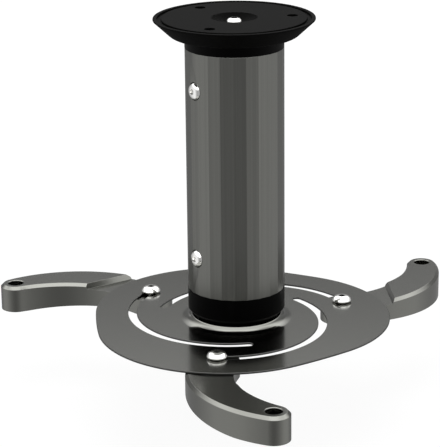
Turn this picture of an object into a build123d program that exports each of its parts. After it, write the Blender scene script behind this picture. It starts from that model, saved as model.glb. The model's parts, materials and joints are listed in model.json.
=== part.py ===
from build123d import *
import os
from math import asin, atan2, cos, degrees, pi, radians, sin, sqrt

# Projector ceiling mount. All sizes are in millimetres.
# The origin is the middle of the ceiling plate's top face, and +Z points at the ceiling.

# Column: a facetted aluminium tube between two cast ends
column_r = 35.0
column_facets = 24
column_turn = 13.0
column_wall = 3.1
column_length = 176.8
spigot_clearance = 0.1
spigot_wall = 4.0
spigot_length = 40.0
screw_inset = 27.1
screw_angle = -144.5
screw_sink = 1.2
screw_sink_clearance = 0.4
screw_boss_r = 8.0
screw_boss_depth = 5.0
end_round = 0.4

# Ceiling plate: a black casting shaped like a saucer
rim_r = 56.9
rim_lip = 1.0
cone_bottom_r = 44.3
cone_bottom_round = 7.0
saucer_depth = 12.7
groove_outer_r = 54.0
groove_inner_r = 51.0
groove_depth = 1.6
recess_r = 16.4
recess_seat_r = 9.0
recess_depth = 5.0
recess_sag = 0.9
rim_round = 0.5
ceiling_hole_r = 3.9
ceiling_hole_circle_r = 41.0
ceiling_hole_angle = 6.0
ceiling_hole_count = 3

# Top plug and the bolt that the column swivels on
neck_height = 8.1
plug_web = 6.0
face_gap = 0.05
pivot_head_r = 6.1
pivot_head_height = 4.6
m8_shank_r = 4.0
m8_hole_clearance = 0.05
pivot_socket = 4.0
pivot_socket_depth = 2.8
m8_nut_across = 13.0
m8_nut_height = 6.5
m8_thin_nut_height = 4.0
m8_washer_r = 8.0
washer_thick = 1.6
washer_edge = 0.25
thread_end = 1.0
button_rim = 0.18
button_shoulder = 0.79
button_shoulder_height = 0.78
button_crown = 0.42

# Side screws of the column, and the bolts that carry the arms
m6_shank_r = 3.0
m6_hole_clearance = 0.1
m6_head_r = 6.1
m6_head_height = 3.3
m6_socket = 4.0
m6_socket_depth = 2.0
m6_shank_length = 10.0
m6_nut_across = 10.0
m6_thin_nut_height = 3.2
m6_washer_r = 6.25
arm_bolt_head_r = 7.4
arm_bolt_head_height = 4.6

# Ball collar: the lower end of the column is a turned ball
ball_r = 45.0
collar_band = 15.4
collar_shell = 5.5
collar_wall = 3.8
collar_lead = 2.0
tilt_limit = 15.0
tilt_room = 0.5

# Clamp that holds the support plate against the ball
saddle_gap = 0.3
saddle_margin = 1.2
saddle_thick = 4.0
saddle_boss_r = 10.0
saddle_boss_rise = 2.0
spring_outer_r = 9.0
spring_thick = 0.9
spring_rise = 1.1
hex_head_height = 5.3

# Support plate: pressed sheet with a bowl, a bead round it and three arc slots
sheet_thick = 1.5
sheet_edge = 0.3
plate_drop = 37.13
lobe_reach = 111.8
waist_cut = 9.5
lobe_shift = 20.0
lobe_angle = 5.8
bowl_gap = 0.3
bead_height = 2.2
bead_crest_r = 3.2
bead_foot_r = 2.5
bead_land = 1.5
slot_hub_reach = 14.3
slot_centre_angle = 111.6
slot_arc_r = 71.2
slot_start_angle = 146.0
slot_sweep = 134.9
slot_play = 0.1

# Arms: three cast hooks, hollow underneath, with a lowered pad that slides under the plate
arm_count = 3
arm_span = 105.1
arm_direction = 170.8
arm_pivot_r = 15.9
arm_tip_r = 11.4
arm_back_r = 87.5
arm_inside_r = 73.8
arm_pivot_depth = 11.8
arm_tip_depth = 16.0
arm_taper_start = 20.0
arm_step = 3.8
arm_shoulder_gap = 13.4
arm_shoulder_turn = 46.4
arm_shoulder_run = 2.0
arm_bevel = 2.2
arm_wall = 3.0
arm_skin = 3.5
arm_rib = 2.5
arm_rib_places = (48.0, 76.0)
arm_boss_r = 8.5
arm_boss_depth = 5.0
arm_tip_boss_r = 8.4
tip_hole_r = 3.2
tip_bore_r = 5.7
tip_bore_depth = 6.0
tip_bore_edge = 0.5

# Heights of the joints between the pieces, from the ceiling down
plug_z = -saucer_depth - face_gap
tube_top_z = plug_z - neck_height
tube_bottom_z = tube_top_z - column_length
ball_edge_z = tube_bottom_z - collar_band
ball_z = ball_edge_z + sqrt(ball_r**2 - column_r**2)
plate_z = ball_z - plate_drop
sheet_bottom_z = plate_z - sheet_thick
land_z = sheet_bottom_z - face_gap
arm_top_z = land_z + arm_step
arm_bottom_z = land_z - arm_tip_depth
arm_shoulder = lobe_reach - slot_arc_r + arm_shoulder_gap
facet_r = column_r * cos(pi / column_facets)
column_bore_r = facet_r - column_wall
m8_hole_r = m8_shank_r + m8_hole_clearance
m6_hole_r = m6_shank_r + m6_hole_clearance
spigot_r = column_bore_r - spigot_clearance
slot_width = 2 * (m6_shank_r + slot_play)
screw_seat = facet_r - screw_sink
collar_seat_r = ball_r - collar_shell
collar_cavity_r = column_r - collar_wall
collar_mouth_angle = tilt_limit + degrees(asin((m8_shank_r + tilt_room) / collar_seat_r))
saddle_angle = degrees(asin(collar_cavity_r / collar_seat_r)) - tilt_limit - saddle_margin

os.makedirs("parts", exist_ok=True)


def save(piece, label):
    """Label one finished piece and write it."""
    piece.label = label
    export_step(piece, f"parts/{label}.step")


def polar(radius, angle):
    """A point of the plan by its distance and direction from an axis."""
    return Vector(radius * cos(radians(angle)), radius * sin(radians(angle)))


def section(seat, out):
    """A plane through an axis: local y runs along the axis, away from the seat."""
    out = Vector(out).normalized()
    side = Vector(0, 0, 1) if abs(out.Z) < 0.5 else Vector(1, 0, 0)
    return Plane(origin=seat, x_dir=side, z_dir=side.cross(out))


def meet(first, first_r, second, second_r, side):
    """Where two circles cross, on the left (1) or right (-1) of the line between their centres."""
    line = second - first
    along = (line.length**2 + first_r**2 - second_r**2) / (2 * line.length)
    across = sqrt(first_r**2 - along**2)
    unit = line.normalized()
    return first + unit * along + Vector(-unit.Y, unit.X) * across * side


def button_screw(seat, out, head_r, head_height, socket, socket_depth, shank_r, shank_length):
    """A domed screw with a hexagon socket. The seat is under its head."""
    plane = section(seat, out)
    with BuildPart() as screw:
        with BuildSketch(plane):
            with BuildLine():
                rim = head_height * button_rim
                shoulder = (head_r * button_shoulder, head_height * button_shoulder_height)
                crown = head_r * button_crown
                Polyline(
                    (0, head_height),
                    (0, -shank_length),
                    (shank_r - thread_end / 2, -shank_length),
                    (shank_r, thread_end / 2 - shank_length),
                    (shank_r, 0),
                    (head_r, 0),
                    (head_r, rim),
                )
                ThreePointArc((head_r, rim), shoulder, (crown, head_height))
                Line((crown, head_height), (0, head_height))
            make_face()
        revolve(axis=Axis(seat, plane.y_dir))
        with BuildSketch(Plane(origin=plane.from_local_coords((0, head_height, 0)), z_dir=plane.y_dir)):
            RegularPolygon(radius=socket / 2, side_count=6, major_radius=False)
        extrude(amount=-socket_depth, mode=Mode.SUBTRACT)
    return screw.part


def hex_block(seat, across, height, hole_r):
    """A hexagon that stands on its seat, with its corners turned off."""
    with BuildPart() as block:
        with BuildSketch(Plane(seat)):
            RegularPolygon(radius=across / 2, side_count=6, major_radius=False)
        extrude(amount=height)
        with BuildSketch(section(seat, (0, 0, 1))):
            with BuildLine():
                corner = across / sqrt(3)
                turned = across / 2
                Polyline(
                    (0, 0),
                    (turned, 0),
                    (corner, (corner - turned) / 2),
                    (corner, height - (corner - turned) / 2),
                    (turned, height),
                    (0, height),
                    close=True,
                )
            make_face()
        revolve(axis=Axis(seat, (0, 0, 1)), mode=Mode.INTERSECT)
        if hole_r:
            with BuildSketch(Plane(seat)):
                Circle(hole_r)
            extrude(amount=height, mode=Mode.SUBTRACT)
    return block.part


def flat_washer(seat, outer_r, hole_r):
    """A plain washer that lies on its seat."""
    with BuildPart() as washer:
        with BuildSketch(Plane(seat)):
            Circle(outer_r)
            Circle(hole_r, mode=Mode.SUBTRACT)
        extrude(amount=washer_thick)
        chamfer(washer.faces().sort_by(Axis.Z)[-1].edges().sort_by(SortBy.RADIUS)[-1], washer_edge)
    return washer.part


# Ceiling plate: a turned saucer with a groove, a bolt recess and three screw holes
with BuildPart() as ceiling_plate:
    with BuildSketch(Plane.XZ):
        with BuildLine():
            Polyline(
                (m8_hole_r, -recess_depth),
                (m8_hole_r, -saucer_depth),
                (cone_bottom_r, -saucer_depth),
                (rim_r, -rim_lip),
                (rim_r, 0),
                (groove_outer_r, 0),
                (groove_outer_r, -groove_depth),
                (groove_inner_r, -groove_depth),
                (groove_inner_r, 0),
                (recess_r, 0),
            )
            SagittaArc((recess_r, 0), (recess_seat_r, -recess_depth), recess_sag)
            Line((recess_seat_r, -recess_depth), (m8_hole_r, -recess_depth))
        make_face()
    revolve(axis=Axis.Z)
    rim_edges = ceiling_plate.edges().filter_by(GeomType.CIRCLE).filter_by(
        lambda edge: edge.radius > groove_inner_r - rim_round and edge.center().Z > -rim_round
    )
    fillet(rim_edges, rim_round)
    fillet(ceiling_plate.faces().sort_by(Axis.Z)[0].outer_wire().edges(), cone_bottom_round)
    with BuildSketch(Plane.XY):
        with PolarLocations(ceiling_hole_circle_r, ceiling_hole_count, ceiling_hole_angle):
            Circle(ceiling_hole_r)
    extrude(amount=-saucer_depth, mode=Mode.SUBTRACT)
save(ceiling_plate.part, "ceiling_plate")

# Pivot bolt: holds the column to the ceiling plate, and the column swivels round it
plug_web_z = tube_top_z - plug_web
pivot_nut_height = m8_nut_height
pivot_washer_z = plug_web_z - face_gap - washer_thick
pivot_bolt = button_screw(
    (0, 0, -recess_depth), (0, 0, 1), pivot_head_r, pivot_head_height, pivot_socket, pivot_socket_depth,
    m8_shank_r, -recess_depth - (pivot_washer_z - pivot_nut_height) + thread_end,
)
save(pivot_bolt, "pivot_bolt")
save(flat_washer((0, 0, pivot_washer_z), m8_washer_r, m8_hole_r), "pivot_washer")
pivot_nut = hex_block((0, 0, pivot_washer_z - pivot_nut_height), m8_nut_across, pivot_nut_height, m8_hole_r)
save(pivot_nut, "pivot_nut")

# Directions of the screws through the column, front and back
screw_turns = {"front": screw_angle, "back": screw_angle + 180.0}
screw_heights = {"upper": tube_top_z - screw_inset, "lower": tube_bottom_z + screw_inset}


def screw_plane(turn, height, distance):
    """A plane square to one side screw, at its height and at a distance from the column's axis."""
    spot = polar(distance, turn)
    return Plane(origin=(spot.X, spot.Y, height), z_dir=polar(1, turn))


# Top plug: black neck ring, with a hollow spigot inside the tube and bosses for the side screws
with BuildPart() as top_plug:
    with BuildSketch(Plane.XZ):
        with BuildLine():
            Polyline(
                (m8_hole_r, plug_z),
                (column_r, plug_z),
                (column_r, tube_top_z),
                (spigot_r, tube_top_z),
                (spigot_r, tube_top_z - spigot_length),
                (spigot_r - spigot_wall, tube_top_z - spigot_length),
                (spigot_r - spigot_wall, plug_web_z),
                (m8_hole_r, plug_web_z),
                close=True,
            )
        make_face()
    revolve(axis=Axis.Z)
    fillet(top_plug.edges().filter_by(GeomType.CIRCLE).sort_by(SortBy.RADIUS)[-2:], end_round)
    for turn in screw_turns.values():
        with BuildSketch(screw_plane(turn, screw_heights["upper"], spigot_r - spigot_wall - screw_boss_depth)):
            Circle(screw_boss_r)
        extrude(until=Until.NEXT)
        with BuildSketch(screw_plane(turn, screw_heights["upper"], 0)):
            Circle(m6_hole_r)
        extrude(amount=column_r, mode=Mode.SUBTRACT)
save(top_plug.part, "top_plug")

# Column tube: a round bore inside a ring of flat facets, counterbored for the side screws
with BuildPart() as column_tube:
    with BuildSketch(Plane.XY.offset(tube_bottom_z)):
        RegularPolygon(radius=column_r, side_count=column_facets, rotation=column_turn)
        Circle(column_bore_r, mode=Mode.SUBTRACT)
    extrude(amount=column_length)
    for turn in screw_turns.values():
        for height in screw_heights.values():
            with BuildSketch(screw_plane(turn, height, 0)):
                Circle(m6_hole_r)
            extrude(amount=column_r, mode=Mode.SUBTRACT)
            with BuildSketch(screw_plane(turn, height, screw_seat)):
                Circle(m6_head_r + screw_sink_clearance)
            extrude(amount=column_r, mode=Mode.SUBTRACT)
save(column_tube.part, "column_tube")

# Side screws: one pair into the top plug and one into the ball collar
for place, turn in screw_turns.items():
    for tier, height in screw_heights.items():
        seat = screw_plane(turn, height, screw_seat).origin
        screw = button_screw(
            seat, polar(1, turn), m6_head_r, m6_head_height, m6_socket, m6_socket_depth, m6_shank_r,
            m6_shank_length,
        )
        save(screw, f"{tier}_{place}_screw")

# Ball collar: spigot in the tube, black band below it, and a ball that seats in the support plate
seat_mouth = polar(collar_seat_r, collar_mouth_angle - 90)
ball_mouth = polar(ball_r, collar_mouth_angle - 90)
ball_middle = polar(ball_r, (collar_mouth_angle - 90 - degrees(atan2(ball_z - ball_edge_z, column_r))) / 2)
cavity_drop = sqrt(collar_seat_r**2 - collar_cavity_r**2)
cavity_angle = -degrees(atan2(cavity_drop, collar_cavity_r))
seat_middle = polar(collar_seat_r, (cavity_angle + collar_mouth_angle - 90) / 2)
with BuildPart() as ball_collar:
    with BuildSketch(Plane.XZ):
        with BuildLine():
            Polyline(
                (collar_cavity_r, ball_z - cavity_drop),
                (collar_cavity_r, tube_bottom_z - collar_lead),
                (spigot_r - spigot_wall, tube_bottom_z + collar_lead),
                (spigot_r - spigot_wall, tube_bottom_z + spigot_length),
                (spigot_r, tube_bottom_z + spigot_length),
                (spigot_r, tube_bottom_z),
                (column_r, tube_bottom_z),
                (column_r, ball_edge_z),
            )
            ThreePointArc(
                (column_r, ball_edge_z),
                (ball_middle.X, ball_z + ball_middle.Y),
                (ball_mouth.X, ball_z + ball_mouth.Y),
            )
            Line((ball_mouth.X, ball_z + ball_mouth.Y), (seat_mouth.X, ball_z + seat_mouth.Y))
            ThreePointArc(
                (seat_mouth.X, ball_z + seat_mouth.Y),
                (seat_middle.X, ball_z + seat_middle.Y),
                (collar_cavity_r, ball_z - cavity_drop),
            )
        make_face()
    revolve(axis=Axis.Z)
    for turn in screw_turns.values():
        with BuildSketch(screw_plane(turn, screw_heights["lower"], spigot_r - spigot_wall - screw_boss_depth)):
            Circle(screw_boss_r)
        extrude(until=Until.NEXT)
        with BuildSketch(screw_plane(turn, screw_heights["lower"], 0)):
            Circle(m6_hole_r)
        extrude(amount=column_r, mode=Mode.SUBTRACT)
save(ball_collar.part, "ball_collar")

# Clamp saddle: a domed washer inside the ball, which slides over the seat as the head tilts
saddle_r = collar_seat_r - saddle_gap
saddle_rim = polar(saddle_r, saddle_angle - 90)
saddle_inner_rim = polar(saddle_r - saddle_thick, saddle_angle - 90)
saddle_hole_drop = sqrt(saddle_r**2 - m8_hole_r**2)
saddle_middle = polar(saddle_r, saddle_angle / 2 - 90)
saddle_top_z = ball_z - (saddle_r - saddle_thick) + saddle_boss_rise
boss_drop = sqrt((saddle_r - saddle_thick) ** 2 - saddle_boss_r**2)
saddle_bend = polar(saddle_r - saddle_thick, (saddle_angle + degrees(atan2(saddle_boss_r, boss_drop))) / 2 - 90)
with BuildPart() as clamp_saddle:
    with BuildSketch(Plane.XZ):
        with BuildLine():
            Line((m8_hole_r, saddle_top_z), (m8_hole_r, ball_z - saddle_hole_drop))
            ThreePointArc(
                (m8_hole_r, ball_z - saddle_hole_drop),
                (saddle_middle.X, ball_z + saddle_middle.Y),
                (saddle_rim.X, ball_z + saddle_rim.Y),
            )
            Line((saddle_rim.X, ball_z + saddle_rim.Y), (saddle_inner_rim.X, ball_z + saddle_inner_rim.Y))
            ThreePointArc(
                (saddle_inner_rim.X, ball_z + saddle_inner_rim.Y),
                (saddle_bend.X, ball_z + saddle_bend.Y),
                (saddle_boss_r, ball_z - boss_drop),
            )
            Polyline(
                (saddle_boss_r, ball_z - boss_drop),
                (saddle_boss_r, saddle_top_z),
                (m8_hole_r, saddle_top_z),
            )
        make_face()
    revolve(axis=Axis.Z)
save(clamp_saddle.part, "clamp_saddle")

# Clamp spring: one coned disc that keeps the clamp tight
with BuildPart() as clamp_spring:
    with BuildSketch(Plane.XZ):
        with BuildLine():
            Polyline(
                (m8_hole_r, saddle_top_z + spring_rise),
                (spring_outer_r, saddle_top_z),
                (spring_outer_r, saddle_top_z + spring_thick),
                (m8_hole_r, saddle_top_z + spring_rise + spring_thick),
                close=True,
            )
        make_face()
    revolve(axis=Axis.Z)
save(clamp_spring.part, "clamp_spring")

# Support plate profile: bowl that follows the ball, rounded bead and flat sheet
bowl_r = ball_r + bowl_gap
crest_drop = plate_drop - bead_height + bead_crest_r
crest_x = sqrt((bowl_r + bead_crest_r) ** 2 - crest_drop**2)
crest = Vector(crest_x, ball_z - crest_drop)
foot_rise = bead_crest_r - bead_height + bead_foot_r
foot = Vector(crest_x + sqrt((bead_crest_r + bead_foot_r) ** 2 - foot_rise**2), plate_z + bead_foot_r)
ball_centre = Vector(0, ball_z)
press_r = foot.X + bead_land


def pressed_line(depth):
    """Arcs of the pressing at a depth below its top face, from the sheet in to the bolt hole."""
    to_crest = (crest - foot).normalized()
    to_bowl = (ball_centre - crest).normalized()
    foot_end = foot + to_crest * (bead_foot_r + depth)
    bowl_end = crest + to_bowl * (bead_crest_r - depth)
    hole_z = ball_z - sqrt((bowl_r + depth) ** 2 - m8_hole_r**2)
    foot_bend = foot + (to_crest + Vector(0, -1)).normalized() * (bead_foot_r + depth)
    crest_bend = crest + (to_bowl - to_crest).normalized() * (bead_crest_r - depth)
    half = (degrees(atan2(ball_z - bowl_end.Y, bowl_end.X)) + 90) / 2
    bowl_bend = ball_centre + polar(bowl_r + depth, -half)
    Line((press_r, plate_z - depth), (foot.X, plate_z - depth))
    ThreePointArc((foot.X, plate_z - depth), foot_bend, foot_end)
    ThreePointArc(foot_end, crest_bend, bowl_end)
    ThreePointArc(bowl_end, bowl_bend, (m8_hole_r, hole_z))
    return hole_z


# Outline of the support plate: three round lobes joined by flatter arcs, all tangent
lobe_r = lobe_reach - lobe_shift
waist_shift = (2 * waist_cut * lobe_shift - waist_cut**2) / (lobe_shift - 2 * waist_cut)
with BuildPart() as support_plate:
    with BuildSketch(Plane.XY.offset(sheet_bottom_z)):
        with BuildLine():
            for index in range(3):
                turn = lobe_angle + 120 * index
                lobe_centre = polar(lobe_shift, turn)
                before = polar(waist_shift, turn + 120)
                after = polar(waist_shift, turn + 240)
                start = lobe_centre + (lobe_centre - before).normalized() * lobe_r
                end = lobe_centre + (lobe_centre - after).normalized() * lobe_r
                next_lobe = polar(lobe_shift, turn + 120)
                next_start = next_lobe + (next_lobe - after).normalized() * lobe_r
                ThreePointArc(start, polar(lobe_reach, turn), end)
                ThreePointArc(end, polar(lobe_reach - waist_cut, turn + 60), next_start)
        make_face()
        Circle(press_r, mode=Mode.SUBTRACT)
        for index in range(arm_count):
            hub = polar(slot_hub_reach, slot_centre_angle + 120 * index)
            path = CenterArc(hub, slot_arc_r, slot_start_angle + 120 * index, slot_sweep, mode=Mode.PRIVATE)
            SlotArc(path, slot_width, mode=Mode.SUBTRACT)
    extrude(amount=sheet_thick)
    cut_edges = support_plate.edges().filter_by(GeomType.CIRCLE)
    chamfer(cut_edges.filter_by(lambda edge: abs(edge.radius - press_r) > sheet_edge), sheet_edge)
    with BuildSketch(Plane.XZ):
        with BuildLine():
            top_hole_z = pressed_line(0)
            low_hole_z = pressed_line(sheet_thick)
            Line((m8_hole_r, top_hole_z), (m8_hole_r, low_hole_z))
            Line((press_r, plate_z), (press_r, sheet_bottom_z))
        make_face()
    revolve(axis=Axis.Z)
save(support_plate.part, "support_plate")

# Clamp washer: its hollow top follows the underside of the bowl, and its bottom is flat for the nut
dish_r = bowl_r + sheet_thick + bowl_gap
dish_rim_drop = sqrt(dish_r**2 - m8_washer_r**2)
dish_hole_drop = sqrt(dish_r**2 - m8_hole_r**2)
dish_bend_drop = sqrt(dish_r**2 - (m8_washer_r / 2 + m8_hole_r / 2) ** 2)
clamp_nut_top_z = ball_z - dish_r - washer_thick / 2
with BuildPart() as clamp_washer:
    with BuildSketch(Plane.XZ):
        with BuildLine():
            ThreePointArc(
                (m8_washer_r, ball_z - dish_rim_drop),
                (m8_washer_r / 2 + m8_hole_r / 2, ball_z - dish_bend_drop),
                (m8_hole_r, ball_z - dish_hole_drop),
            )
            Polyline(
                (m8_hole_r, ball_z - dish_hole_drop),
                (m8_hole_r, clamp_nut_top_z),
                (m8_washer_r, clamp_nut_top_z),
                (m8_washer_r, ball_z - dish_rim_drop),
            )
        make_face()
    revolve(axis=Axis.Z)
save(clamp_washer.part, "clamp_washer")

# Clamp bolt and nut: the bolt's head presses on the spring, and the nut is reached from below
clamp_head_z = saddle_top_z + spring_rise + spring_thick
clamp_nut_z = clamp_nut_top_z - m8_thin_nut_height
with BuildPart() as clamp_bolt:
    add(hex_block((0, 0, clamp_head_z), m8_nut_across, hex_head_height, 0))
    with BuildSketch(Plane.XY.offset(clamp_nut_z - thread_end / 2)):
        Circle(m8_shank_r)
    extrude(amount=clamp_head_z - clamp_nut_z + thread_end / 2)
    chamfer(clamp_bolt.faces().sort_by(Axis.Z)[0].edges(), thread_end / 2)
save(clamp_bolt.part, "clamp_bolt")
save(hex_block((0, 0, clamp_nut_z), m8_nut_across, m8_thin_nut_height, m8_hole_r), "clamp_nut")


def arm_outline(inset):
    """Plan of an arm about its pivot: two end rounds joined by a back arc and an inside arc."""
    pivot = Vector(0, 0)
    tip = Vector(arm_span, 0)
    back = meet(pivot, arm_back_r - arm_pivot_r, tip, arm_back_r - arm_tip_r, 1)
    inside = meet(pivot, arm_inside_r + arm_pivot_r, tip, arm_inside_r + arm_tip_r, 1)
    pivot_r = arm_pivot_r - inset
    tip_r = arm_tip_r - inset
    back_start = (pivot - back).normalized() * (arm_back_r - inset) + back
    back_end = (tip - back).normalized() * (arm_back_r - inset) + back
    back_bend = ((pivot + tip) * 0.5 - back).normalized() * (arm_back_r - inset) + back
    inside_start = pivot + (inside - pivot).normalized() * pivot_r
    inside_end = tip + (inside - tip).normalized() * tip_r
    inside_bend = ((pivot + tip) * 0.5 - inside).normalized() * (arm_inside_r + inset) + inside
    ThreePointArc(back_start, back_bend, back_end)
    ThreePointArc(back_end, (tip_r + arm_span, 0), inside_end)
    ThreePointArc(inside_end, inside_bend, inside_start)
    ThreePointArc(inside_start, (-pivot_r, 0), back_start)


def pocket_floor(plane, pivot_boss_r):
    """Plan of the hollow under an arm: inside its walls, clear of both bosses and of the cross ribs."""
    with BuildSketch(plane) as floor:
        with BuildLine():
            arm_outline(arm_wall)
        make_face()
        with Locations((arm_span, 0)):
            Circle(arm_tip_boss_r, mode=Mode.SUBTRACT)
        with Locations([(place, 0) for place in arm_rib_places]):
            Rectangle(arm_rib, 2 * arm_back_r, mode=Mode.SUBTRACT)
        if pivot_boss_r:
            Circle(pivot_boss_r, mode=Mode.SUBTRACT)
    return floor.sketch


# Arms, each with the bolt, washer and nut that carry it in its slot
boss_z = land_z - arm_boss_depth
arm_nut_z = boss_z - face_gap - washer_thick - m6_thin_nut_height
for index in range(arm_count):
    hub = polar(slot_hub_reach, slot_centre_angle + 120 * index)
    pivot = hub + polar(slot_arc_r, slot_start_angle + 120 * index)
    along = polar(1, arm_direction + 120 * index)

    def arm_level(height):
        """A level plane with its origin on the arm's bolt and its x axis towards the tip."""
        return Plane(origin=(pivot.X, pivot.Y, height), x_dir=along, z_dir=(0, 0, 1))

    with BuildPart() as arm:
        with BuildSketch(arm_level(arm_bottom_z)):
            with BuildLine():
                arm_outline(0)
            make_face()
        extrude(amount=arm_top_z - arm_bevel - arm_bottom_z)
        with BuildSketch(arm_level(arm_top_z - arm_bevel)):
            with BuildLine():
                arm_outline(0)
            make_face()
        with BuildSketch(arm_level(arm_top_z)):
            with BuildLine():
                arm_outline(arm_bevel)
            make_face()
        loft(ruled=True)
        side_plane = Plane(origin=(pivot.X, pivot.Y, 0), x_dir=along, z_dir=along.cross(Vector(0, 0, 1)))
        with BuildSketch(side_plane):
            with BuildLine():
                Polyline(
                    (-2 * arm_pivot_r, land_z - arm_pivot_depth),
                    (arm_taper_start, land_z - arm_pivot_depth),
                    (arm_span - arm_tip_r, arm_bottom_z),
                    (-2 * arm_pivot_r, arm_bottom_z),
                    close=True,
                )
            make_face()
        extrude(amount=arm_span, both=True, mode=Mode.SUBTRACT)
        across = along.rotate(Axis.Z, -arm_shoulder_turn)
        foot = pivot + along * arm_shoulder
        with BuildSketch(Plane(origin=(foot.X, foot.Y, 0), x_dir=across, z_dir=across.cross(Vector(0, 0, 1)))):
            with BuildLine():
                Polyline(
                    (0, land_z),
                    (arm_shoulder_run, arm_top_z),
                    (arm_shoulder_run, arm_top_z + arm_step),
                    (-2 * arm_span, arm_top_z + arm_step),
                    (-2 * arm_span, land_z),
                    close=True,
                )
            make_face()
        extrude(amount=arm_span, both=True, mode=Mode.SUBTRACT)
        extrude(pocket_floor(arm_level(arm_bottom_z), 0), amount=boss_z - arm_bottom_z, mode=Mode.SUBTRACT)
        around_boss = pocket_floor(arm_level(boss_z), arm_boss_r)
        extrude(around_boss, amount=arm_boss_depth - arm_skin, mode=Mode.SUBTRACT)
        with BuildSketch(arm_level(land_z)):
            Circle(m6_hole_r)
        extrude(amount=arm_bottom_z - land_z, mode=Mode.SUBTRACT)
        with BuildSketch(side_plane):
            with BuildLine():
                Polyline(
                    (arm_span, arm_top_z),
                    (arm_span + tip_bore_r + tip_bore_edge, arm_top_z),
                    (arm_span + tip_bore_r, arm_top_z - tip_bore_edge),
                    (arm_span + tip_bore_r, arm_top_z - tip_bore_depth),
                    (arm_span + tip_hole_r, arm_top_z - tip_bore_depth),
                    (arm_span + tip_hole_r, arm_bottom_z),
                    (arm_span, arm_bottom_z),
                    close=True,
                )
            make_face()
        tip = pivot + along * arm_span
        revolve(axis=Axis((tip.X, tip.Y, 0), (0, 0, 1)), mode=Mode.SUBTRACT)
    save(arm.part, f"arm_{index + 1}")

    seat = (pivot.X, pivot.Y, plate_z + face_gap)
    bolt = button_screw(
        seat, (0, 0, 1), arm_bolt_head_r, arm_bolt_head_height, m6_socket, m6_socket_depth, m6_shank_r,
        plate_z + face_gap - arm_nut_z + thread_end,
    )
    save(bolt, f"arm_bolt_{index + 1}")
    washer_seat = (pivot.X, pivot.Y, boss_z - face_gap - washer_thick)
    save(flat_washer(washer_seat, m6_washer_r, m6_hole_r), f"arm_washer_{index + 1}")
    arm_nut = hex_block((pivot.X, pivot.Y, arm_nut_z), m6_nut_across, m6_thin_nut_height, m6_hole_r)
    save(arm_nut, f"arm_nut_{index + 1}")
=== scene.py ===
import json

import bpy
import bmesh
from math import cos, pi, radians, sin, tau
from mathutils import Matrix, Vector


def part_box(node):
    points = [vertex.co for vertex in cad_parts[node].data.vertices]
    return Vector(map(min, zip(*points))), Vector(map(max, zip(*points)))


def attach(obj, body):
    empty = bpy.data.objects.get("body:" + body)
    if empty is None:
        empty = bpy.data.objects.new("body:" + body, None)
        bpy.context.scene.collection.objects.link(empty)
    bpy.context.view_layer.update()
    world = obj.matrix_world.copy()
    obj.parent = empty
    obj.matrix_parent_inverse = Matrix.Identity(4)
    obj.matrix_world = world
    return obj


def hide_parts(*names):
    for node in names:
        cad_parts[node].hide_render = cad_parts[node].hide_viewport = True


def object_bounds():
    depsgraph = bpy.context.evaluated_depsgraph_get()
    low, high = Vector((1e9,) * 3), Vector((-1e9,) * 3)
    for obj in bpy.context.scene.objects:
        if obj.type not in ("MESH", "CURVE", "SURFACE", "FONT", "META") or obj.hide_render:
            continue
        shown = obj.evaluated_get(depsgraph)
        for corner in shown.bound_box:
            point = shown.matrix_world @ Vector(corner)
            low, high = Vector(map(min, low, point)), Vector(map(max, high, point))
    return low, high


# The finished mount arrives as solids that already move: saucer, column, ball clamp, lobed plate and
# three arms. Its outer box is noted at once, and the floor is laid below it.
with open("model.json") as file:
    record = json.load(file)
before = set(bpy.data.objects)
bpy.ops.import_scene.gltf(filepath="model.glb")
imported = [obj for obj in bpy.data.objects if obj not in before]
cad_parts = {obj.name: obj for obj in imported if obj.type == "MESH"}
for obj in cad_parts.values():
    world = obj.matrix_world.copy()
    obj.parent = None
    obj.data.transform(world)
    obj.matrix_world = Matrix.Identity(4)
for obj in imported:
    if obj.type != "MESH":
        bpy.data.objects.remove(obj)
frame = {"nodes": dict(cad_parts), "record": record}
node = frame["nodes"]
cad_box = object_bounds()

# The camera stands where the photograph was taken: well back on the -Y side and a little above the
# ceiling plate, looking down at the column.
view_distance = 1.3990
view_height = 0.3031
view_pitch = radians(17.978)
view_yaw = radians(-0.466)
view_roll = radians(-0.619)
photo_height = 447
focal_pixels = 2046.8
sensor_size = 36.0
nearest_seen = 0.05
farthest_seen = 50

forward = Vector((sin(view_yaw) * cos(view_pitch), cos(view_yaw) * cos(view_pitch), -sin(view_pitch)))
level_right = forward.cross(Vector((0, 0, 1))).normalized()
level_up = level_right.cross(forward)
right = cos(view_roll) * level_right + sin(view_roll) * level_up
up = -sin(view_roll) * level_right + cos(view_roll) * level_up
turned = Matrix((right, up, -forward)).transposed().to_4x4()
camera = bpy.data.objects.new("camera", bpy.data.cameras.new("camera"))
bpy.context.scene.collection.objects.link(camera)
camera.matrix_world = Matrix.Translation((0, -view_distance, view_height)) @ turned
camera.data.sensor_width = sensor_size
camera.data.lens = focal_pixels / photo_height * sensor_size
camera.data.clip_start = nearest_seen
camera.data.clip_end = farthest_seen
bpy.context.scene.camera = camera
bpy.context.scene.view_settings.view_transform = "Standard"

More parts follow.
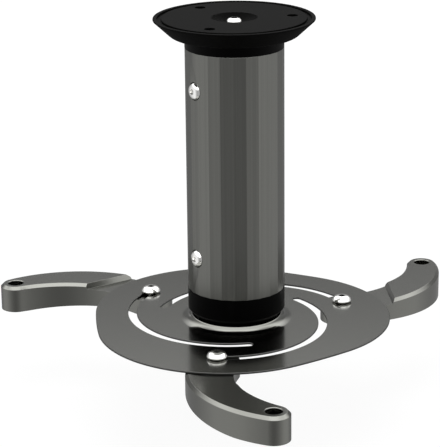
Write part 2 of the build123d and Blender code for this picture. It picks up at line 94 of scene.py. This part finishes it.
# Studio: the mount hangs in a white room. Its walls are greyer straight behind the mount and behind the
# camera, and its ceiling is broad and bright. Metal mirrors all of that, while the camera sees plain white.
# Wall stops run from the wall behind the mount to the one behind the camera, the others from level to up.
wall_strength = 1.1
ceiling_strength = 4.0
soft_strength = 0.42
near_start = 0.25
near_rise = 3.0
wall_stops = [
    (0.0, 0.27), (0.08, 0.33), (0.18, 0.47), (0.36, 0.86), (0.42, 0.97), (0.60, 1.0), (0.68, 0.98),
    (0.83, 0.75), (0.885, 0.66), (0.975, 0.46), (1.0, 0.38),
]
cover_stops = [(0.0, 0.0), (0.34, 0.0), (0.46, 0.36), (0.60, 0.80), (0.78, 1.0), (1.0, 1.0)]
near_stops = [(0.0, 0.9), (0.70, 0.9), (0.82, 0.72), (0.90, 1.0), (0.97, 1.0), (1.0, 0.35)]
far_stops = [(0.0, 1.0), (0.66, 1.0), (0.80, 0.34), (1.0, 0.34)]


class Wire:
    """One value inside a finish. Sums and products of wires add the Math nodes that work them out."""

    def __init__(self, tree, socket=None):
        self.tree = tree
        self.socket = socket

    def put(self, kind, settings, inputs, out=0):
        """Add a node of one kind. Its settings are set first, then its sockets get values or wires."""
        made = self.tree.nodes.new(kind)
        for name, value in settings.items():
            if name == "stops":
                bands = made.color_ramp.elements
                bands[0].position, bands[0].color = value[0][0], (*[value[0][1]] * 3, 1)
                bands[1].position, bands[1].color = value[-1][0], (*[value[-1][1]] * 3, 1)
                for place, grey in value[1:-1]:
                    bands.new(place).color = (*[grey] * 3, 1)
            else:
                setattr(made, name, value)
        for name, value in inputs.items():
            if isinstance(value, Wire):
                self.tree.links.new(value.socket, made.inputs[name])
            else:
                made.inputs[name].default_value = value
        return Wire(self.tree, made.outputs[out])

    def math(self, operation, *values, clamp=False):
        """A Math node that works out one operation on wires and numbers."""
        settings = {"operation": operation, "use_clamp": clamp}
        return self.put("ShaderNodeMath", settings, dict(enumerate(values)))

    def __add__(self, other):
        return self.math("ADD", self, other)

    def __sub__(self, other):
        return self.math("SUBTRACT", self, other)

    def __rsub__(self, other):
        return self.math("SUBTRACT", other, self)

    def __mul__(self, other):
        return self.math("MULTIPLY", self, other)

    __radd__ = __add__
    __rmul__ = __mul__

    def blend(self, first, second):
        """Mix two colours, with this value as the share of the second."""
        colours = {0: self, 6: (*first, 1), 7: (*second, 1)}
        return self.put("ShaderNodeMix", {"data_type": "RGBA"}, colours, out=2)

    def read(self, stops):
        """The brightness that a list of stops, each a place and a grey, has where this value stands."""
        grey = self.put("ShaderNodeValToRGB", {"stops": stops}, {0: self})
        return self.put("ShaderNodeSeparateColor", {}, {0: grey}, out="Red")


world = bpy.data.worlds.new("studio")
bpy.context.scene.world = world
world.use_nodes = True
wire = Wire(world.node_tree)
seen = wire.put("ShaderNodeLightPath", {}, {}, out="Is Camera Ray")
mirrored = wire.put("ShaderNodeLightPath", {}, {}, out="Is Glossy Ray")
toward = wire.put("ShaderNodeTexCoord", {}, {}, out="Generated")
height = wire.put("ShaderNodeSeparateXYZ", {}, {0: toward}, out="Z")
across = wire.put("ShaderNodeVectorMath", {"operation": "MULTIPLY"}, {0: toward, 1: (1, 1, 0)})
level = wire.put("ShaderNodeVectorMath", {"operation": "NORMALIZE"}, {0: across})
facing = wire.put("ShaderNodeSeparateXYZ", {}, {0: level}, out="Y") * -0.5 + 0.5
near = wire.math("MULTIPLY", facing - near_start, near_rise, clamp=True)
cover = height.read(cover_stops)
walls = facing.read(wall_stops) * wall_strength * (1 - cover)
ceiling = (height.read(near_stops) * near + height.read(far_stops) * (1 - near)) * cover * ceiling_strength
strength = seen + (1 - seen) * (mirrored * (walls + ceiling) + (1 - mirrored) * soft_strength)
background = world.node_tree.nodes["Background"]
background.inputs["Color"].default_value = (1, 1, 1, 1)
world.node_tree.links.new(strength.socket, background.inputs["Strength"])

# Floor: one white paper sheet a hand's breadth below the arms, clear of the plate when it leans. The camera
# sees it as plain white with a faint shade under the mount, and metal mirrors the room through it.
floor_gap = 0.07
floor_reach = 6.0
paper_white = 0.9
paper_roughness = 0.9
floor_strength = 1.07
least_white = 0.86
shade_reach = 0.35
fade_rate = 1.5
sheet = bmesh.new()
bmesh.ops.create_grid(sheet, x_segments=2, y_segments=2, size=floor_reach)
bmesh.ops.translate(sheet, verts=sheet.verts, vec=(0, 0, cad_box[0].z - floor_gap))
floor = bpy.data.objects.new("floor", bpy.data.meshes.new("floor"))
sheet.to_mesh(floor.data)
sheet.free()
bpy.context.scene.collection.objects.link(floor)

paper = bpy.data.materials.new("floor_paper")
paper.use_nodes = True
wire = Wire(paper.node_tree)
paper_shade = paper.node_tree.nodes["Principled BSDF"]
paper_shade.inputs["Base Color"].default_value = (paper_white, paper_white, paper_white, 1)
paper_shade.inputs["Roughness"].default_value = paper_roughness
paper_shade.inputs["Specular IOR Level"].default_value = 0.0
plain = Wire(paper.node_tree, paper_shade.outputs[0])
seen = wire.put("ShaderNodeLightPath", {}, {}, out="Is Camera Ray")
mirrored = wire.put("ShaderNodeLightPath", {}, {}, out="Is Glossy Ray")
white = wire.put("ShaderNodeEmission", {}, {"Strength": floor_strength})
spot = wire.put("ShaderNodeTexCoord", {}, {}, out="Object")
away = wire.put("ShaderNodeVectorMath", {"operation": "LENGTH"}, {0: spot}, out="Value")
fade = wire.math("MULTIPLY", away - shade_reach, fade_rate, clamp=True)
white_share = fade * (1 - least_white) + least_white
sheet_look = wire.put("ShaderNodeMixShader", {}, {0: seen * white_share, 1: plain, 2: white})
through = wire.put("ShaderNodeBsdfTransparent", {}, {})
both = wire.put("ShaderNodeMixShader", {}, {0: mirrored, 1: sheet_look, 2: through})
paper.node_tree.links.new(both.socket, paper.node_tree.nodes["Material Output"].inputs["Surface"])
floor.data.materials.append(paper)

# Lamps: a wide softbox above the camera's side of the mount and a tall one on each side light its matt and
# black surfaces evenly. Metal doesn't mirror them, because it mirrors the room.
top_place = (0.0, -0.5, 1.0)
top_aim = (0, 0, -0.15)
side_reach = 1.3
side_front = -0.5
side_rise = 0.5
side_aim = (0, 0, -0.1)


def softbox(name, place, aim, width, length, radiance):
    """A flat lamp that looks at a point, by the brightness of its face."""
    lamp = bpy.data.lights.new(name, "AREA")
    lamp.shape = "RECTANGLE"
    lamp.size = width
    lamp.size_y = length
    lamp.energy = radiance * pi * width * length
    box = bpy.data.objects.new(name, lamp)
    bpy.context.scene.collection.objects.link(box)
    box.location = place
    box.rotation_mode = "QUATERNION"
    box.rotation_quaternion = (Vector(aim) - Vector(place)).to_track_quat("-Z", "Y")
    box.visible_glossy = False


softbox("top_softbox", top_place, top_aim, width=0.9, length=0.8, radiance=3.6)
for side, reach in (("left", -side_reach), ("right", side_reach)):
    place = (reach, side_front, side_rise)
    softbox(f"{side}_softbox", place, side_aim, width=0.8, length=1.4, radiance=0.9)

# Ceiling plate: the black saucer that three screws hold to the ceiling. It is an aluminium casting, turned
# on its top face, with a fine satin powder coat over all of it.
powder = (0.0014, 0.0014, 0.0013)
solid_weld = 1e-6
bodies = frame["record"]["behaviour"]["bodies"]
body_of = {name: body for body, names in bodies.items() for name in names}


def finish(name, colour, roughness, metallic=0.0, specular=0.5):
    """Start a finish with its even values and give its shader and a first wire."""
    made = bpy.data.materials.new(name)
    made.use_nodes = True
    shade = made.node_tree.nodes["Principled BSDF"]
    shade.inputs["Base Color"].default_value = (*colour, 1)
    shade.inputs["Roughness"].default_value = roughness
    shade.inputs["Metallic"].default_value = metallic
    shade.inputs["Specular IOR Level"].default_value = specular
    return made, shade, Wire(made.node_tree)


def speckle(wire, grains, stretch=(1, 1, 1), detail=3.0):
    """A soft random pattern in the part's own space, from 0 to 1, with so many grains to the metre."""
    spot = wire.put("ShaderNodeTexCoord", {}, {}, out="Object")
    spot = wire.put("ShaderNodeMapping", {}, {"Vector": spot, "Scale": stretch})
    return wire.put("ShaderNodeTexNoise", {}, {"Vector": spot, "Scale": grains, "Detail": detail})


def relief(wire, shade, pattern, depth):
    """Raise and sink the surface by a pattern, with the depth in metres."""
    bump = wire.put("ShaderNodeBump", {}, {"Strength": 1.0, "Distance": depth, "Height": pattern})
    wire.tree.links.new(bump.socket, shade.inputs["Normal"])


def mottle(wire, shade, pattern, least, most):
    """Let the roughness follow a pattern, from its least to its most."""
    value = pattern * (most - least) + least
    wire.tree.links.new(value.socket, shade.inputs["Roughness"])


def tint(wire, shade, pattern, dark, light):
    """Let the colour follow a pattern, from dark to light."""
    wire.tree.links.new(pattern.blend(dark, light).socket, shade.inputs["Base Color"])


def clean_copy(name):
    """A copy of a solid's mesh, with its loose triangles joined into whole faces."""
    mesh = bmesh.new()
    mesh.from_mesh(node[name].data)
    bmesh.ops.remove_doubles(mesh, verts=mesh.verts, dist=solid_weld)
    bmesh.ops.dissolve_limit(mesh, angle_limit=radians(0.5), verts=mesh.verts, edges=mesh.edges)
    return mesh


def dress(name, ending, mesh, *finishes, smooth=28.0):
    """Make a piece of a mesh, shade its curves smooth, and let it stand for a solid on the same body."""
    data = bpy.data.meshes.new(f"{name}_{ending}")
    mesh.to_mesh(data)
    mesh.free()
    data.polygons.foreach_set("use_smooth", [True] * len(data.polygons))
    data.set_sharp_from_angle(angle=radians(smooth))
    for material in finishes:
        data.materials.append(material)
    piece = bpy.data.objects.new(f"{name}_{ending}", data)
    bpy.context.scene.collection.objects.link(piece)
    flats = piece.modifiers.new("flats", "WEIGHTED_NORMAL")
    flats.weight = 100
    flats.keep_sharp = True
    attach(piece, body_of[name])
    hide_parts(name)


powder_black, shade, wire = finish("powder_black", powder, 0.58, specular=0.025)
relief(wire, shade, speckle(wire, grains=900), depth=0.00004)
mottle(wire, shade, speckle(wire, grains=2600), least=0.52, most=0.68)
dress("ceiling_plate", "casting", clean_copy("ceiling_plate"), powder_black)

# Top plug: the black ring between saucer and tube, with the spigot that the tube is pushed on. It is
# turned from aluminium and sprayed gloss black, and the pivot bolt holds it to the saucer.
black = (0.0008, 0.0008, 0.0008)
gloss_black, shade, wire = finish("gloss_black", black, 0.35, specular=0.03)
relief(wire, shade, speckle(wire, grains=260, stretch=(0.3, 0.3, 14)), depth=0.000008)
mottle(wire, shade, speckle(wire, grains=900), least=0.25, most=0.35)
dress("top_plug", "ring", clean_copy("top_plug"), gloss_black)

# Column tube: an extruded aluminium tube of 24 flats, held by its side screws to the spigots in both ends.
# It has a dark gunmetal anodised skin, with the faint straight lines that the die leaves along it.
gunmetal = (0.135, 0.134, 0.130)
anodised_dark = (0.112, 0.113, 0.106)
anodised_light = (0.160, 0.161, 0.150)
tube_round = 0.00025
tube_smooth = 12.0


def round_edges(mesh, radius):
    """Break every sharp edge of a mesh with a small round."""
    limit = radians(28)
    sharp = [edge for edge in mesh.edges if edge.is_manifold and edge.calc_face_angle() > limit]
    bmesh.ops.bevel(
        mesh, geom=sharp, offset=radius, offset_type="OFFSET", segments=2, profile=0.5,
        affect="EDGES", clamp_overlap=False, material=-1,
    )


anodised, shade, wire = finish("gunmetal_anodised", gunmetal, 0.3, metallic=1.0)
die_lines = speckle(wire, grains=900, stretch=(1, 1, 0.003), detail=6.0)
relief(wire, shade, die_lines, depth=0.000008)
mottle(wire, shade, speckle(wire, grains=700, stretch=(1, 1, 0.05)), least=0.25, most=0.35)
tint(wire, shade, die_lines, anodised_dark, anodised_light)
tube = clean_copy("column_tube")
round_edges(tube, tube_round)
dress("column_tube", "extrusion", tube, anodised, smooth=tube_smooth)

# Ball collar: the black lower end of the column, an aluminium turning with the ball that the support plate
# is clamped to. Two of the side screws hold its spigot in the tube.
dress("ball_collar", "turning", clean_copy("ball_collar"), gloss_black)

# Clamp saddle and spring: inside the ball, a domed washer turned from steel slides on the collar's seat, and
# a dark coned disc of spring steel on it keeps the clamp tight.
steel = (0.50, 0.50, 0.49)
phosphate = (0.10, 0.10, 0.105)
turned_steel, shade, wire = finish("turned_steel", steel, 0.28, metallic=1.0)
relief(wire, shade, speckle(wire, grains=300, stretch=(0.4, 0.4, 12)), depth=0.00001)
mottle(wire, shade, speckle(wire, grains=1200), least=0.22, most=0.36)
dress("clamp_saddle", "turning", clean_copy("clamp_saddle"), turned_steel)
spring_steel, shade, wire = finish("phosphated_spring", phosphate, 0.5, metallic=1.0)
relief(wire, shade, speckle(wire, grains=2500), depth=0.000006)
mottle(wire, shade, speckle(wire, grains=900), least=0.4, most=0.6)
dress("clamp_spring", "disc", clean_copy("clamp_spring"), spring_steel)

# Support plate: pressed steel sheet with a bowl, a raised lip round it and three arc slots. It is sprayed
# with a gunmetal lacquer whose metal flakes lie flat, so that it mirrors the column softly. Its upright cut
# edges get a darker, rougher colour, which is painted shade for the dark line along the rim and the slots.
# Each corner of the bowl's section has its radius, height, round and steps, in mm.
lacquer_dark = (0.130, 0.131, 0.121)
lacquer_light = (0.174, 0.175, 0.162)
painted_edge_shade = (0.06, 0.06, 0.058)
sheet_thick = 0.0015
bowl_edge_r = 0.0424
bowl_steps = 96
bowl_corners = (
    (4.05, -229.884, 0.0, 1), (18.545, -228.583, 14.54, 14), (32.6, -216.8, 2.04, 7),
    (34.6, -220.35, 1.5, 7), (38.0, -221.8957, 2.3, 6), (42.4, -221.8957, 0.0, 1),
)
blank_middle = -0.225
blank_height = 0.04
mesh_weld = 1e-7
seam_reach = 2e-6
seam_weld = 3e-6
edge_band = 0.001
level_share = 0.9


def cut_out(mesh, cutter):
    """Cut one mesh out of another and give back what is left."""
    blocks = []
    for part in (mesh, cutter):
        data = bpy.data.meshes.new("blank")
        part.to_mesh(data)
        part.free()
        blocks.append(bpy.data.objects.new("blank", data))
        bpy.context.scene.collection.objects.link(blocks[-1])
    cut = blocks[0].modifiers.new("cut", "BOOLEAN")
    cut.operation = "DIFFERENCE"
    cut.solver = "EXACT"
    cut.object = blocks[1]
    graph = bpy.context.evaluated_depsgraph_get()
    left = bpy.data.meshes.new_from_object(blocks[0].evaluated_get(graph))
    rest = bmesh.new()
    rest.from_mesh(left)
    for block in blocks:
        bpy.data.meshes.remove(block.data)
    bpy.data.meshes.remove(left)
    return rest


def add_mesh(mesh, part):
    """Join a second mesh to the first and let it go."""
    data = bpy.data.meshes.new("part")
    part.to_mesh(data)
    part.free()
    mesh.from_mesh(data)
    bpy.data.meshes.remove(data)


def rounded_profile(mesh, corners):
    """A line of corners given in millimetres, each with the length of its round and its steps."""
    points = [mesh.verts.new((0.001 * corner[0], 0, 0.001 * corner[1])) for corner in corners]
    for start, end in zip(points, points[1:]):
        mesh.edges.new((start, end))
    for point, corner in zip(points, corners):
        if corner[2]:
            bmesh.ops.bevel(
                mesh, geom=[point], offset=0.001 * corner[2], offset_type="OFFSET", segments=corner[3],
                profile=0.5, affect="VERTICES", clamp_overlap=False, material=-1,
            )


def turn_profile(mesh, steps):
    """Turn a profile a whole round about the upright axis."""
    bmesh.ops.spin(
        mesh, geom=mesh.verts[:] + mesh.edges[:], cent=(0, 0, 0), axis=(0, 0, 1), angle=tau, steps=steps,
        use_merge=True,
    )
    bmesh.ops.remove_doubles(mesh, verts=mesh.verts, dist=mesh_weld)


def from_axis(vert):
    """How far a point lies from the upright axis."""
    return Vector((vert.co.x, vert.co.y)).length


blank = bmesh.new()
bmesh.ops.create_cone(
    blank, cap_ends=True, segments=bowl_steps, radius1=bowl_edge_r, radius2=bowl_edge_r, depth=blank_height,
    matrix=Matrix.Translation((0, 0, blank_middle)),
)
plate = cut_out(clean_copy("support_plate"), blank)
bowl = bmesh.new()
rounded_profile(bowl, bowl_corners)
turn_profile(bowl, bowl_steps)
bmesh.ops.recalc_face_normals(bowl, faces=bowl.faces)
if sum(face.normal.z for face in bowl.faces) < 0:
    bmesh.ops.reverse_faces(bowl, faces=bowl.faces)
bmesh.ops.solidify(bowl, geom=bowl.faces[:], thickness=sheet_thick)
add_mesh(plate, bowl)
# Upright faces outside the bowl, the rim and the slot walls, take the darker colour: painted shade.
for face in plate.faces:
    if abs(face.normal.z) < level_share and from_axis(face.verts[0]) > bowl_edge_r + edge_band:
        face.material_index = 1
seam = {vert for vert in plate.verts if abs(from_axis(vert) - bowl_edge_r) < seam_reach}
seam_walls = [face for face in plate.faces if seam.issuperset(face.verts)]
bmesh.ops.delete(plate, geom=seam_walls, context="FACES")
bmesh.ops.remove_doubles(plate, verts=plate.verts, dist=seam_weld)

lacquer, shade, wire = finish("gunmetal_lacquer", gunmetal, 0.17, metallic=1.0)
flakes = speckle(wire, grains=5200, detail=1.0)
relief(wire, shade, speckle(wire, grains=220), depth=0.00001)
mottle(wire, shade, flakes, least=0.125, most=0.185)
tint(wire, shade, flakes, lacquer_dark, lacquer_light)
# Painted shade: a darker, rougher copy of the lacquer for the sheet's upright cut edges.
cut_edge, shade, wire = finish("painted_shade_on_cut_edge", painted_edge_shade, 0.45, metallic=1.0)
relief(wire, shade, speckle(wire, grains=1500), depth=0.00001)
mottle(wire, shade, speckle(wire, grains=2500), least=0.38, most=0.52)
dress("support_plate", "pressing", plate, lacquer, cut_edge)

# Arms: three aluminium castings, hollow underneath, with a bevel round the top face and a lowered pad that
# its bolt pulls up under the plate. The same lacquer lies over the slightly uneven skin of the casting.
casting_light = (0.172, 0.173, 0.160)
small_round = 0.00012
cast_lacquer, shade, wire = finish("gunmetal_on_casting", gunmetal, 0.16, metallic=1.0)
flakes = speckle(wire, grains=4200, detail=1.0)
relief(wire, shade, speckle(wire, grains=420), depth=0.00001)
mottle(wire, shade, flakes, least=0.14, most=0.22)
tint(wire, shade, flakes, lacquer_dark, casting_light)
for index in (1, 2, 3):
    arm = clean_copy(f"arm_{index}")
    round_edges(arm, small_round)
    dress(f"arm_{index}", "casting", arm, cast_lacquer)

# Bolts and screws: bright nickel domed heads with a hexagon socket, on rolled threads. The lathe leaves
# fine rings round each dome. The pivot bolt is M8, and the arms' bolts and the side screws are M6. The
# sockets of the pivot and arm bolts are near-black, painted shade in the recess; the side screws' sockets
# stay nickel.
bright = (0.80, 0.795, 0.78)
painted_socket_shade = (0.02, 0.02, 0.02)
ring_waves = 42000.0
ring_steps = 48
thread_steps = 24
thread_sink = 0.0002
spare_turns = 3
socket_sides = 6
socket_across = 0.004
point_depth = 0.0006
crown_share = 0.46
side_screw_angle = radians(-144.5)
nickel, shade, wire = finish("bright_nickel", bright, 0.13, metallic=1.0)
ring_place = wire.put("ShaderNodeAttribute", {"attribute_name": "from_axis"}, {}, out="Fac")
rings = wire.math("SINE", ring_place * ring_waves)
relief(wire, shade, rings + speckle(wire, grains=1800), depth=0.000002)
mottle(wire, shade, speckle(wire, grains=2400), least=0.08, most=0.18)
# Painted shade: a near-black colour for the inside of the pivot and arm bolts' sockets.
dark_socket, shade, wire = finish("painted_shade_in_socket", painted_socket_shade, 0.45, metallic=0.4, specular=0.3)
relief(wire, shade, speckle(wire, grains=2600), depth=0.00001)
mottle(wire, shade, speckle(wire, grains=1800), least=0.38, most=0.54)


def dome(mesh, head_r, head_height, socket_depth, foot_share, waist_share):
    """A domed head that stands on z = 0: a turned profile, and a hexagon socket with a drilled point."""
    tall = 1000 * head_height
    wide = 1000 * head_r
    rounded_profile(mesh, (
        (0, 0, 0, 1), (foot_share * wide, 0, 0.12 * tall, 3), (wide, waist_share * tall, 0.14 * tall, 5),
        (0.80 * wide, 0.86 * tall, 0.30 * tall, 8), (crown_share * wide, tall, 0, 1),
    ))
    turn_profile(mesh, ring_steps)
    crown = [edge for edge in mesh.edges if edge.is_boundary]
    hexagon = bmesh.ops.create_circle(
        mesh, segments=socket_sides, radius=socket_across / 3**0.5,
        matrix=Matrix.Translation((0, 0, head_height)),
    )["verts"]
    sides = [edge for edge in mesh.edges if edge.verts[0] in hexagon and edge.verts[1] in hexagon]
    bmesh.ops.subdivide_edges(mesh, edges=sides, cuts=ring_steps // socket_sides - 1)
    mouth = [edge for edge in mesh.edges if edge.is_wire]
    bmesh.ops.bridge_loops(mesh, edges=crown + mouth)
    wall = bmesh.ops.extrude_edge_only(mesh, edges=mouth)["geom"]
    low_ring = [item for item in wall if isinstance(item, bmesh.types.BMVert)]
    bmesh.ops.translate(mesh, verts=low_ring, vec=(0, 0, -socket_depth))
    for face in {face for vert in low_ring for face in vert.link_faces}:
        face.material_index = 1
    low_edges = [edge for edge in mesh.edges if edge.verts[0] in low_ring and edge.verts[1] in low_ring]
    point = bmesh.ops.extrude_edge_only(mesh, edges=low_edges)["geom"]
    for item in point:
        if isinstance(item, bmesh.types.BMFace):
            item.material_index = 1
    point_ring = [item for item in point if isinstance(item, bmesh.types.BMVert)]
    point_tip = (0, 0, head_height - socket_depth - point_depth)
    bmesh.ops.pointmerge(mesh, verts=point_ring, merge_co=point_tip)
    bmesh.ops.recalc_face_normals(mesh, faces=mesh.faces)


def thread(mesh, shank_r, length, pitch):
    """A rolled thread below z = 0: one groove profile spun down a helix and cut square at both ends. Each
    point of the profile has its radius, and its drop as a share of the pitch."""
    part = bmesh.new()
    groove_r = shank_r - 0.6 * pitch
    turns = int(length / pitch) + spare_turns
    profile = ((shank_r, 0.0), (shank_r, 0.15), (groove_r, 0.5), (groove_r, 0.65), (shank_r, 1.0))
    chain = [part.verts.new((out, 0, -drop * pitch)) for out, drop in profile]
    for start, end in zip(chain, chain[1:]):
        part.edges.new((start, end))
    bmesh.ops.spin(
        part, geom=part.verts[:] + part.edges[:], cent=(0, 0, 0), axis=(0, 0, 1), angle=tau * turns,
        steps=thread_steps * turns, dvec=(0, 0, -pitch / thread_steps),
    )
    bmesh.ops.translate(part, verts=part.verts, vec=(0, 0, pitch))
    bmesh.ops.remove_doubles(part, verts=part.verts, dist=mesh_weld)
    for cut_z, way in ((thread_sink, 1), (-length, -1)):
        bmesh.ops.bisect_plane(
            part, geom=part.verts[:] + part.edges[:] + part.faces[:], plane_co=(0, 0, cut_z),
            plane_no=(0, 0, way), clear_outer=True,
        )
        open_edges = [edge for edge in part.edges if edge.is_boundary]
        rim = [edge for edge in open_edges if abs(edge.verts[0].co.z - cut_z) < solid_weld]
        bmesh.ops.holes_fill(part, edges=rim)
    bmesh.ops.recalc_face_normals(part, faces=part.faces)
    add_mesh(mesh, part)


def bolt(name, out, socket_look, head_r, head_height, socket_depth, shank_r, pitch, foot_share=1.0,
         waist_share=0.2):
    """Turn one bolt and set it on its solid's axis, its head's top where the solid's head ends."""
    points = [vert.co for vert in node[name].data.vertices]
    top = max(point.dot(out) for point in points)
    tip = min(point.dot(out) for point in points)
    low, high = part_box(name)
    middle = (Vector(low) + Vector(high)) / 2
    axis_place = Vector((0, 0, middle.z)) if abs(out.z) < 0.5 else Vector((middle.x, middle.y, 0))
    mesh = bmesh.new()
    dome(mesh, head_r, head_height, socket_depth, foot_share, waist_share)
    thread(mesh, shank_r, top - tip - head_height, pitch)
    layer = mesh.verts.layers.float.new("from_axis")
    for vert in mesh.verts:
        vert[layer] = from_axis(vert)
    seat = Matrix.Translation(axis_place + out * (top - head_height))
    aim = out.to_track_quat("Z", "Y").to_matrix().to_4x4()
    bmesh.ops.transform(mesh, matrix=seat @ aim, verts=mesh.verts)
    dress(name, "threaded", mesh, nickel, socket_look, smooth=32.0)


straight_up = Vector((0, 0, 1))
bolt(
    "pivot_bolt", straight_up, dark_socket, head_r=0.0061, head_height=0.0046, socket_depth=0.0028,
    shank_r=0.004, pitch=0.00125,
)
for index in (1, 2, 3):
    bolt(
        f"arm_bolt_{index}", straight_up, dark_socket, head_r=0.0074, head_height=0.0046,
        socket_depth=0.002, shank_r=0.003, pitch=0.001, foot_share=0.80, waist_share=0.30,
    )
for side, turn in (("front", side_screw_angle), ("back", side_screw_angle + pi)):
    outward = Vector((cos(turn), sin(turn), 0))
    for tier in ("upper", "lower"):
        bolt(
            f"{tier}_{side}_screw", outward, nickel, head_r=0.0061, head_height=0.0033,
            socket_depth=0.002, shank_r=0.003, pitch=0.001,
        )

# Nuts, washers and the clamp bolt: zinc-plated steel. The plating gives a cool grey with a faint spangle,
# and the hexagon corners are turned off.
zinc_plain = (0.60, 0.60, 0.60)
zinc_cool = (0.54, 0.55, 0.57)
zinc_warm = (0.66, 0.655, 0.64)
zinc, shade, wire = finish("zinc_plate", zinc_plain, 0.34, metallic=1.0)
spangle = speckle(wire, grains=500, detail=2.0)
relief(wire, shade, speckle(wire, grains=3000), depth=0.000003)
mottle(wire, shade, spangle, least=0.26, most=0.42)
tint(wire, shade, spangle, zinc_cool, zinc_warm)
plated = ["pivot_nut", "pivot_washer", "clamp_nut", "clamp_washer", "clamp_bolt"]
plated += [f"arm_{kind}_{index}" for index in (1, 2, 3) for kind in ("nut", "washer")]
for name in plated:
    small = clean_copy(name)
    round_edges(small, small_round)
    dress(name, "plated", small, zinc)
